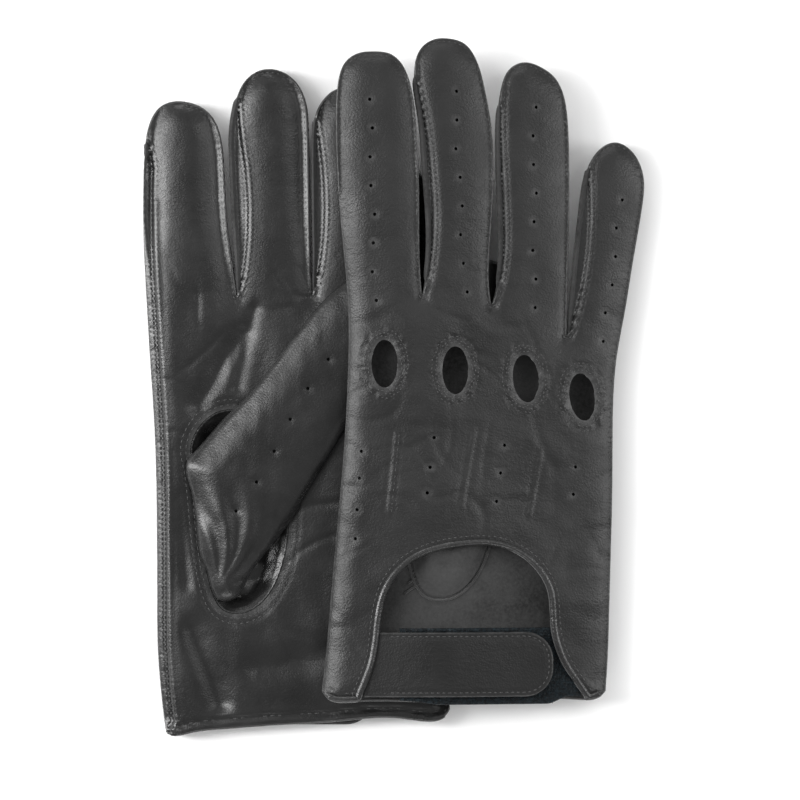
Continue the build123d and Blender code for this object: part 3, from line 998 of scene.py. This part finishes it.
class Thumb:
    """A pressed thumb: its outline and its two surfaces."""

    def __init__(self, glove):
        self.glove = glove
        name = glove.name
        high = "inner" if glove.back_up else "outer"
        low = "outer" if glove.back_up else "inner"
        self.high = face_table([f"{name}_thumb_{high}"], 1)
        self.low = face_table([f"{name}_thumb_{low}"], -1)
        self.outline = evenly(plan_loops(f"{name}_thumb_outer", -1 if glove.back_up else 1)[0], EDGE_STEP)
        if not glove.back_up:
            self.cover_seam()
        self.tree = point_tree(self.outline)

    def cover_seam(self):
        """Widen the foot of the left thumb a little so that it meets its seam."""
        offset = self.outline - THUMB_FOOT
        away = offset @ THUMB_AHEAD
        aside = offset @ -THUMB_RIGHT
        amount = 1.7 * MM * (1 - smooth_step(away, 10 * MM, 26 * MM)) * smooth_step(aside, 0, 6 * MM)
        self.outline = self.outline - THUMB_RIGHT * amount[:, None]

    def edge(self, points):
        """Height of the side fold: half way up at the tip, down on the palm at the base."""
        high = level(self.high, points[:, 0])
        low = level(self.low, points[:, 0])
        if self.glove.back_up:
            return (high + low) / 2
        away = (points - THUMB_FOOT) @ THUMB_AHEAD
        seated = smooth_step(away, 12 * MM, 48 * MM)
        return low + (high - low) * (0.06 + 0.44 * seated)

    def upper(self, points):
        gap = gaps_to(self.tree, points)
        edge = self.edge(points)
        high = level(self.high, points[:, 0])
        z = edge + (high - edge) * round_rise(gap, 12 * MM)
        soft = smooth_step(gap, 0, 4 * MM)
        z += soft * (0.35 * MM * ripples(points, 17 * MM, 4.4) - 0.5 * MM)
        z += soft * 0.10 * MM * ripples(points * (1.3, 1.0), 5 * MM, 6.1)
        z += soft * self.folds(points)
        for dot in self.dots():
            away = np.hypot(points[:, 0] - dot[0], points[:, 1] - dot[1])
            z -= 0.35 * MM * bump(away, 0, 1.3 * MM)
        return np.minimum(z, high)

    def lower(self, points):
        gap = gaps_to(self.tree, points)
        edge = self.edge(points)
        low = level(self.low, points[:, 0])
        return edge + (low - edge) * round_rise(gap, 3.5 * MM)

    def folds(self, points):
        """Long shallow folds that fan out from the foot of the thumb."""
        if self.glove.back_up:
            return 0.0
        offset = points - THUMB_FOOT - np.array([-6.0, -24.0]) * MM
        away = np.hypot(offset[:, 0], offset[:, 1])
        turn = np.arctan2(offset[:, 1], offset[:, 0])
        fade = smooth_step(away, 2 * MM, 10 * MM) * (1 - smooth_step(away, 26 * MM, 46 * MM))
        return fade * 0.4 * MM * np.sin(turn * 17 + 2.2 * np.sin(away / (9 * MM)))

    def dots(self):
        """Punched holes along the back of the thumb."""
        if self.glove.back_up:
            return []
        first = THUMB_FOOT + np.array([-0.8, 4.7]) * MM
        sway = 0.9 * MM
        return [first + THUMB_AHEAD * i * THUMB_DOT_PITCH + THUMB_RIGHT * sway * math.sin(i * 1.25)
                for i in range(6)]


def build_thumb(glove, finish):
    thumb = Thumb(glove)
    holes = [circle(dot, PERFORATION) for dot in thumb.dots()]
    points, faces = pillow(thumb.outline, thumb.upper, thumb.lower, GRID, holes)
    piece = plain_piece(f"{glove.name}_thumb_leather", points, faces, [finish["palm"]])
    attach(piece, f"{glove.name}_thumb")
    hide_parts(f"{glove.name}_thumb_outer", f"{glove.name}_thumb_inner")


def build_gusset(glove, palm, finish):
    """Leather that joins the thumb to the palm, sunk in folds inside the thumb's seam."""
    loop = palm.thumb_hole
    tree = point_tree(loop)
    up = palm.top

    def sink(points):
        gap = gaps_to(tree, points)
        z = palm.height(points) - up * 0.7 * MM
        z -= up * 3.6 * MM * smooth_step(gap, 0.2 * MM, 7 * MM)
        z += up * smooth_step(gap, 0.5 * MM, 4 * MM) * 1.5 * MM * ripples(points * (1.0, 1.6), 8 * MM, 12.5)
        return z

    outline = loop[::-1] if turns(loop).sum() < 0 else loop
    spots, faces = triangles(outline, [], GRID)
    points = np.column_stack([spots, sink(spots)])
    groups = {}
    leather_shells(points, faces, np.full(len(faces), -1), up, groups)
    piece = groups[-1].piece(f"{glove.name}_thumb_gusset_leather", [finish["palm"], finish["flesh"]])
    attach(piece, f"{glove.name}_hand")
    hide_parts(f"{glove.name}_thumb_gusset")


# ---------------------------------------------------------------- the wrist

class Strap:
    """The wrist strap: its outline, longer at the sewn end, and its two faces."""

    def __init__(self, glove):
        self.glove = glove
        self.up = 1 if glove.back_up else -1
        name = f"{glove.name}_strap"
        loop = plan_loops(name, self.up)[0].copy()
        self.hinge = JOINTS[f"{glove.name}_strap_open"]["pos_m"][0]
        loop[loop[:, 0] < loop[:, 0].min() + 1 * MM, 0] -= 8 * MM
        self.outline = evenly(loop, 0.6 * MM, corner=1.0)
        self.table = face_table([name], self.up)
        self.deep = 2.9 * MM if glove.back_up else 1.2 * MM

    def outer(self, points):
        gap, _ = to_line(points, self.outline, closed=True)
        x = points[:, 0]
        sunk = self.deep * (1 - smooth_step(x, self.hinge - 6 * MM, self.hinge + 26 * MM))
        z = level(self.table, x) - self.up * sunk
        z -= self.up * 0.45 * MM * (1 - round_rise(gap, 1.1 * MM))
        z -= self.up * 0.22 * MM * bump(gap, 1.5 * MM, 0.45 * MM)
        z += self.up * 0.12 * MM * ripples(points, 16 * MM, 8.8)
        return z - self.up * 0.12 * MM

    def inner(self, points):
        gap, _ = to_line(points, self.outline, closed=True)
        return self.outer(points) - self.up * 0.8 * MM * np.clip(gap / (0.5 * MM), 0, 1)


def build_strap(glove, finish):
    strap = Strap(glove)
    name = glove.name
    upper, lower = (strap.outer, strap.inner) if strap.up > 0 else (strap.inner, strap.outer)
    rings = (0.25 * MM, 0.6 * MM, 1.1 * MM, 1.7 * MM)
    points, faces = pillow(strap.outline, upper, lower, GRID, rings=rings)
    piece = plain_piece(f"{name}_strap_leather", points, faces, [finish["strap"]])
    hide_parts(f"{name}_strap", f"{name}_strap_anchor")
    line = beside_loop(strap.outline, -1.5 * MM)
    line = line[line[:, 0] > strap.hinge + 1 * MM]
    gaps = np.linalg.norm(np.diff(line, axis=0), axis=1)
    line = np.roll(line, -(int(np.argmax(gaps)) + 1), axis=0) if gaps.max() > 4 * MM else line
    thread = Stitches()
    thread.row(line, strap.outer, lambda spots: np.zeros(len(spots), int), facing=strap.up,
               pitch=2.0 * MM, long=1.3 * MM)
    sewn = plain_piece(f"{name}_strap_stitches", thread.points[0], thread.faces[0], [finish["thread"]])
    for part in (piece, sewn):
        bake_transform(part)


def slab(node, up, lowest=-1.0, rise=0.0, sink=0.0):
    """A thin soft slab with rounded edges, fitted to a flat CAD node.

    Its outline stays above lowest in plan, its ends rise where rise is 1, and it lies deeper by sink.
    """
    outline = evenly(plan_loops(node, up)[0], 0.8 * MM)
    low, top = outline.min(0), outline.max(0)
    x = outline[:, 0]
    right_rise = 2.6 * MM * smooth_step(x, top[0] - 12 * MM, top[0] - 4 * MM)
    left_rise = 1.6 * MM * (1 - smooth_step(x, low[0], low[0] + 16 * MM))
    foot = max(low[1], lowest) + rise * (right_rise + left_rise)
    outline[:, 1] = np.maximum(outline[:, 1], foot)
    outline = evenly(outline, 0.8 * MM)
    high = face_table([node], 1)
    low = face_table([node], -1)
    high[1][:] -= up * sink
    low[1][:] -= up * sink

    def face(points, side):
        gap, _ = to_line(points, outline, closed=True)
        middle = (level(high, points[:, 0]) + level(low, points[:, 0])) / 2
        half = (level(high, points[:, 0]) - level(low, points[:, 0])) / 2
        bulge = side * half * round_rise(gap, 0.6 * MM)
        return middle + bulge - 0.12 * MM * np.abs(ripples(points, 7 * MM, 2.9))

    def upper(points):
        return face(points, 1)

    def lower(points):
        return face(points, -1)

    points, faces = pillow(outline, upper, lower, TAPE_GRID, rings=(0.3 * MM, 0.7 * MM))
    return points, faces, outline, upper, lower


def pile(outline, surface, up, pitch, high, seed, hooked):
    """Little loops or hooks of a fastening tape standing on a surface."""
    rng = np.random.default_rng(seed)
    low, top = outline.min(0), outline.max(0)
    xs = np.arange(low[0] + pitch / 2, top[0], pitch)
    ys = np.arange(low[1] + pitch / 2, top[1], pitch)
    grid = np.array([(x, y) for x in xs for y in ys])
    grid += rng.uniform(-0.25, 0.25, grid.shape) * pitch
    grid = grid[inside(grid, outline)]
    z = surface(grid)
    points = []
    faces = []
    sides = 4
    steps = 4 if hooked else 6
    for (x, y), base in zip(grid, z):
        turn = rng.uniform(-0.3, 0.3) if hooked else rng.uniform(0, math.pi)
        reach = high * rng.uniform(0.35, 0.6)
        tall = high * rng.uniform(0.7, 1.1)
        first = len(points)
        for s in range(steps):
            t = s / (steps - 1)
            swing = math.pi * t * (0.75 if hooked else 1.0)
            out = -math.cos(swing) * reach
            rise = math.sin(swing) * tall
            spot = np.array([x + out * math.cos(turn), y + out * math.sin(turn), base + up * rise])
            for k in range(sides):
                angle = 2 * math.pi * k / sides
                points.append(spot + PILE_RADIUS * np.array([-math.sin(turn) * math.cos(angle),
                                                             math.cos(turn) * math.cos(angle),
                                                             math.sin(angle)]))
        faces += ring_faces(steps, sides, first)
    return points, faces


def build_tapes(glove, finish):
    """The loop tab across the wrist and the hook patch under the strap."""
    up = 1 if glove.back_up else -1
    name = glove.name
    lowest = -1.0 if glove.back_up else glove.outline[:, 1].min() + 7 * MM
    points, faces, outline, upper, lower = slab(f"{name}_loop_tab", up, lowest, rise=1.0,
                                                sink=TAB_SINK)
    fuzz, fuzz_faces = pile(outline, upper if up > 0 else lower, up, 0.95 * MM, 0.55 * MM, 5, hooked=False)
    tab = plain_piece(f"{name}_loop_tape", list(points) + fuzz,
                      faces + later_faces(fuzz_faces, len(points)), [finish["loop"]])
    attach(tab, f"{name}_hand")
    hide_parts(f"{name}_loop_tab")
    points, faces, outline, upper, lower = slab(f"{name}_hook_patch", up)
    hooks, hook_faces = pile(outline, lower if up > 0 else upper, -up, 1.5 * MM, 0.35 * MM, 9, hooked=True)
    patch = plain_piece(f"{name}_hook_tape", list(points) + hooks,
                        faces + later_faces(hook_faces, len(points)), [finish["hook"]])
    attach(patch, f"{name}_strap_flap")
    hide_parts(f"{name}_hook_patch")


def inner_seams(glove, palm, finish):
    """Seam allowance of the thumb standing inside the palm, and the pleats sewn below it."""
    up = -palm.top
    ring = beside_loop(palm.thumb_hole, 0.9 * MM)
    low = palm.thumb_hole[:, 1].min()
    left = palm.thumb_hole[:, 0].min()
    lines = [ring]
    for shift in (0.0, 3.6 * MM, 7.2 * MM):
        t = np.linspace(0, 1, 14)
        lines.append(np.column_stack([left + (4 + 14 * t) * MM + shift * 0.35,
                                      low + (1.5 + 4.5 * t + 2.0 * np.sin(3 * t)) * MM + shift]))
    points = []
    faces = []
    for line in lines:
        z = palm.height(line) + up * (SKIN + 0.35 * MM)
        spots, cells = tube(np.column_stack([line, z]), 0.4 * MM, sides=8)
        first = len(points)
        points += list(spots)
        faces += later_faces(cells, first)
    piece = plain_piece(f"{glove.name}_inner_seams", points, faces, [finish["flesh"]])
    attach(piece, f"{glove.name}_hand")


def build_hem(glove, palm, finish):
    """The turned edge of the palm at the wrist."""
    runs = inset_lines(glove, glove.hem, 0.6 * MM)
    line = max(runs, key=len)
    up = palm.top
    z = palm.height(line) - up * 0.95 * MM
    path = np.column_stack([line, z])
    roll, roll_faces = tube(path, 0.95 * MM, sides=12)
    rows = 5
    count = len(line)
    inward = left_of(unit_rows(np.gradient(line, axis=0)))
    flap = []
    for r in range(rows):
        spot = line + inward * (r * 1.1 * MM)
        flap.append(np.column_stack([spot, palm.height(spot) - up * (SKIN + 0.1 * MM)]))
    flap = np.concatenate(flap)
    cells = []
    for r in range(rows - 1):
        for i in range(count - 1):
            a, b = r * count + i, r * count + i + 1
            cells += [(a, b, b + count), (a, b + count, a + count)]
    groups = {}
    leather_shells(flap, np.array(cells), np.full(len(cells), -1), up, groups)
    shell = groups[-1]
    normals = vertex_normals(roll, np.array([(f[0], f[1], f[2]) for f in roll_faces] +
                                            [(f[0], f[2], f[3]) for f in roll_faces[:-2]]))
    shell.add(roll, roll_faces, np.concatenate([normals[list(f)] for f in roll_faces]), 0)
    piece = shell.piece(f"{glove.name}_hem_leather", [finish["palm"], finish["flesh"]])
    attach(piece, f"{glove.name}_hand")
    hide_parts(f"{glove.name}_palm_hem")


# ---------------------------------------------------------------- materials

class Nodes:
    """Short hand for building a material's nodes."""

    def __init__(self, name):
        self.material = bpy.data.materials.new(name)
        self.material.use_nodes = True
        self.tree = self.material.node_tree
        self.shader = self.tree.nodes["Principled BSDF"]
        self.place = self.tree.nodes.new("ShaderNodeTexCoord").outputs["Object"]

    def plug(self, socket, value):
        """Join the output of another node to a socket, or set the socket to a plain value."""
        if isinstance(value, bpy.types.NodeSocket):
            self.tree.links.new(value, socket)
        else:
            socket.default_value = value

    def add(self, kind, inputs=None, **settings):
        node = self.tree.nodes.new(kind)
        for key, value in settings.items():
            setattr(node, key, value)
        for key, value in (inputs or {}).items():
            self.plug(node.inputs[key], value)
        return node

    def noise(self, scale, detail=3.0, rough=0.55, stretch=None):
        place = self.place
        if stretch:
            place = self.add("ShaderNodeMapping", {"Vector": place, "Scale": stretch}).outputs["Vector"]
        return self.add("ShaderNodeTexNoise", {"Vector": place, "Scale": scale, "Detail": detail,
                                               "Roughness": rough}).outputs["Fac"]

    def cells(self, scale):
        return self.add("ShaderNodeTexVoronoi", {"Vector": self.place, "Scale": scale}).outputs["Distance"]

    def span(self, value, low, high, to_low, to_high):
        return self.add("ShaderNodeMapRange", {"Value": value, "From Min": low, "From Max": high,
                                               "To Min": to_low, "To Max": to_high}).outputs["Result"]

    def sum(self, a, b, operation="ADD"):
        return self.add("ShaderNodeMath", {0: a, 1: b}, operation=operation).outputs["Value"]

    def mix(self, amount, a, b):
        node = self.add("ShaderNodeMix", data_type="RGBA")
        for key, value in (("Factor_Float", amount), ("A_Color", a), ("B_Color", b)):
            self.plug(next(s for s in node.inputs if s.identifier == key), value)
        return next(s for s in node.outputs if s.identifier == "Result_Color")

    def bump(self, height, strength, distance):
        normal = self.add("ShaderNodeBump", {"Height": height, "Strength": strength, "Distance": distance})
        self.connect("Normal", normal.outputs["Normal"])

    def connect(self, name, value):
        """Plug a value into the shader of the material."""
        self.plug(self.shader.inputs[name], value)

    def patches(self, scale, low, high, detail=3.0):
        """A value that wanders between low and high in soft patches."""
        return self.span(self.noise(scale, detail), 0.3, 0.7, low, high)


def grey(tone):
    return (tone, tone, tone, 1.0)


def smooth_leather(name, dark, light, rough, worn, shine=0.5, grain=0.42):
    """Dyed nappa leather: fine grain, uneven polish and edges worn a little lighter."""
    n = Nodes(name)
    cloud = n.noise(45, 4.0)
    tone = n.mix(n.span(cloud, 0.35, 0.65, 0, 1), grey(dark), grey(light))
    edge = n.add("ShaderNodeNewGeometry").outputs["Pointiness"]
    rub = n.sum(n.span(edge, 0.52, 0.60, 0, 1), n.span(n.noise(300, 3.0), 0.35, 0.6, 0.3, 1), "MULTIPLY")
    n.connect("Base Color", n.mix(rub, tone, grey(worn)))
    polish = n.sum(n.patches(70, -0.06, 0.07, 4.0), n.patches(1400, -0.03, 0.03, 2.0))
    n.connect("Roughness", n.sum(polish, rough))
    n.connect("Specular IOR Level", shine)
    pores = n.span(n.cells(1300), 0.0, 0.7, 0, 0.9)
    fine = n.sum(pores, n.noise(2300, 2.0))
    worn_spots = n.span(n.noise(28, 2.0), 0.4, 0.62, 0.5, 3.2)
    crinkle = n.sum(n.noise(430, 3.0, 0.6, (0.65, 1.3, 1.0)), worn_spots, "MULTIPLY")
    n.bump(n.sum(fine, crinkle), grain, 0.00014)
    return n.material


def flesh_side(name):
    """The napped inside of the leather and its cut edges."""
    n = Nodes(name)
    cloud = n.noise(38, 5.0, 0.6)
    nap = n.noise(900, 4.0, 0.7)
    tone = n.mix(n.span(cloud, 0.38, 0.62, 0, 1), grey(0.007), grey(0.036))
    n.connect("Base Color", n.mix(n.span(nap, 0.35, 0.75, 0, 0.5), tone, grey(0.07)))
    n.connect("Roughness", n.span(nap, 0.3, 0.7, 0.85, 1.0))
    n.connect("Sheen Weight", 0.25)
    n.connect("Specular IOR Level", 0.2)
    n.bump(nap, 0.5, 0.0003)
    return n.material


def thread(name):
    n = Nodes(name)
    twist = n.add("ShaderNodeTexWave", {"Vector": n.place, "Scale": 900.0, "Distortion": 2.0},
                  bands_direction="DIAGONAL").outputs["Fac"]
    n.connect("Base Color", n.mix(twist, grey(0.014), grey(0.065)))
    n.connect("Roughness", n.patches(800, 0.5, 0.7))
    n.bump(twist, 0.4, 0.00008)
    return n.material


def woven_tape(name, dark, light, scale):
    """Tape with a dense pile or rows of hooks."""
    n = Nodes(name)
    speck = n.noise(scale, 3.0, 0.7)
    n.connect("Base Color", n.mix(n.span(speck, 0.4, 0.68, 0, 1), dark, light))
    n.connect("Roughness", n.patches(500, 0.55, 0.8))
    n.connect("Specular IOR Level", 0.25)
    n.bump(n.sum(speck, n.cells(scale)), 0.8, 0.0005)
    return n.material


def floor_finish(name):
    n = Nodes(name)
    n.connect("Base Color", n.mix(n.noise(6), (0.90, 0.90, 0.90, 1), (0.93, 0.93, 0.93, 1)))
    n.connect("Roughness", n.patches(30, 0.75, 0.9))
    n.bump(n.noise(400), 0.05, 0.0002)
    return n.material


# ---------------------------------------------------------------- putting the gloves together

def sew_back(glove, back, finish):
    """Rows of stitches on the back of the hand."""
    rows = Stitches()
    seams = ~glove.hem & (glove.edge > 0.2)
    for line in inset_lines(glove, seams, SEAM_INSET, shown=back.top > 0):
        rows.sew(line, back, pitch=1.9 * MM, long=1.25 * MM)
    rng = np.random.default_rng(41)
    for hole in back.holes:
        for away in RING_ROWS:
            ring = beside_loop(hole, away)
            ring += rng.normal(0, 0.16 * MM, ring.shape)
            rows.sew(ring, back, pitch=1.5 * MM, long=0.95 * MM, wide=0.5 * MM)
    for line in back.points:
        ahead = (line[1] - line[0]) / np.linalg.norm(line[1] - line[0])
        aside = np.array([-ahead[1], ahead[0]]) * 0.8 * MM
        rows.sew(line + aside, back, pitch=2.3 * MM, long=1.2 * MM)
    line, left = opening_run(glove)
    rows.sew((line + left * 3.3 * MM)[8:-8], back, pitch=2.0 * MM, long=1.3 * MM)
    loose_stitches(glove, rows, "back_stitches", finish["thread"])


def sew_palm(glove, palm, finish):
    """Rows of stitches on the palm."""
    rows = Stitches()
    seams = ~glove.hem & (glove.edge > 0.2) & ~glove.index_side
    for line in inset_lines(glove, seams, SEAM_INSET, shown=palm.top > 0):
        rows.sew(line, palm, pitch=1.9 * MM, long=1.25 * MM)
    for away in THUMB_ROWS:
        rows.sew(beside_loop(palm.thumb_hole, away), palm)
    for line in inset_lines(glove, glove.hem, HEM_ROW):
        rows.sew(line, palm, pitch=2.6 * MM, long=1.8 * MM)
    loose_stitches(glove, rows, "palm_stitches", finish["thread"])


def panel_nodes(glove, side):
    """Says which CAD nodes the leather of one side stands for, on the hand or on a finger."""
    return lambda part: [f"{glove.name}_{side}_panel" if part == "hand" else f"{glove.name}_{part}_{side}"]


def build_glove(glove, finish):
    back = BackSkin(glove)
    palm = PalmSkin(glove, evenly(glove.palm_loops[1], 0.8 * MM, corner=2.0))
    punched = [circle(dot, PERFORATION) for dot in back.dots]
    build_skin(glove, back, glove.back_outline, back.holes + punched, GRID, "back_leather",
               [finish["back"], finish["flesh"]], panel_nodes(glove, "back"))
    build_skin(glove, palm, glove.outline, [palm.thumb_hole], GRID, "palm_leather",
               [finish["palm"], finish["flesh"]], panel_nodes(glove, "palm"))
    upper, lower = (back, palm) if glove.back_up else (palm, back)
    build_strips(glove, upper, lower, [finish["strip"], finish["flesh"]])
    sew_back(glove, back, finish)
    sew_palm(glove, palm, finish)
    piping(glove, back, [finish["binding"]])
    build_hem(glove, palm, finish)
    inner_seams(glove, palm, finish)
    build_thumb(glove, finish)
    build_gusset(glove, palm, finish)
    build_tapes(glove, finish)
    build_strap(glove, finish)


def area_light(name, place, size, power):
    """A soft rectangular light that faces the gloves."""
    data = bpy.data.lights.new(name, "AREA")
    data.shape = "RECTANGLE"
    data.size, data.size_y = size
    data.energy = power
    light = bpy.data.objects.new(name, data)
    light.location = place
    light.rotation_euler = (-Vector(place)).to_track_quat("-Z", "Y").to_euler()
    bpy.context.scene.collection.objects.link(light)


def build_studio(finish):
    """The floor, the world and the lights."""
    wide = 3.2
    steps = 12
    spots = []
    cells = []
    for i in range(steps + 1):
        for j in range(steps + 1):
            spots.append(((i / steps - 0.5) * wide, (j / steps - 0.5) * wide, FLOOR_Z))
    for i in range(steps):
        for j in range(steps):
            a = i * (steps + 1) + j
            cells.append((a, a + steps + 1, a + steps + 2, a + 1))
    floor = plain_piece("floor", spots, cells, [finish["floor"]])
    world = bpy.data.worlds.new("studio")
    world.use_nodes = True
    sky = world.node_tree.nodes["Background"]
    sky.inputs["Color"].default_value = (1.0, 1.0, 1.0, 1.0)
    sky.inputs["Strength"].default_value = SKY
    bpy.context.scene.world = world
    bpy.context.scene.view_settings.view_transform = "Standard"
    for name, place, size, power in LIGHTS:
        area_light(name, place, size, power)


def build_camera():
    """A camera that looks straight down."""
    data = bpy.data.cameras.new("camera")
    data.sensor_width = SENSOR
    data.lens = SENSOR * CAMERA_HEIGHT / FRAME_WIDE
    data.clip_start = 0.05
    camera = bpy.data.objects.new("camera", data)
    camera.location = (VIEW_CENTRE[0], VIEW_CENTRE[1], CAMERA_HEIGHT + VIEW_LEVEL)
    bpy.context.scene.collection.objects.link(camera)
    bpy.context.scene.camera = camera


for node in NODES.values():
    node.data.materials.clear()

FINISH = {
    "back": smooth_leather("back_leather", 0.0055, 0.0105, 0.43, 0.055, shine=0.42),
    "strap": smooth_leather("strap_leather", 0.004, 0.006, 0.46, 0.06, shine=0.36),
    "palm": smooth_leather("palm_leather", 0.005, 0.010, 0.31, 0.05, grain=0.2),
    "strip": smooth_leather("strip_leather", 0.006, 0.011, 0.34, 0.03),
    "binding": smooth_leather("binding_leather", 0.012, 0.022, 0.30, 0.07),
    "flesh": flesh_side("flesh_side"),
    "thread": thread("thread"),
    "loop": woven_tape("loop_pile", (0.001, 0.002, 0.003, 1), (0.008, 0.016, 0.021, 1), 900.0),
    "hook": woven_tape("hook_tape", (0.006, 0.006, 0.007, 1), (0.03, 0.03, 0.03, 1), 1100.0),
    "floor": floor_finish("floor"),
}
RIGHT = Glove("right", True)
LEFT = Glove("left", False)
build_glove(RIGHT, FINISH)
build_glove(LEFT, FINISH)
build_studio(FINISH)
build_camera()
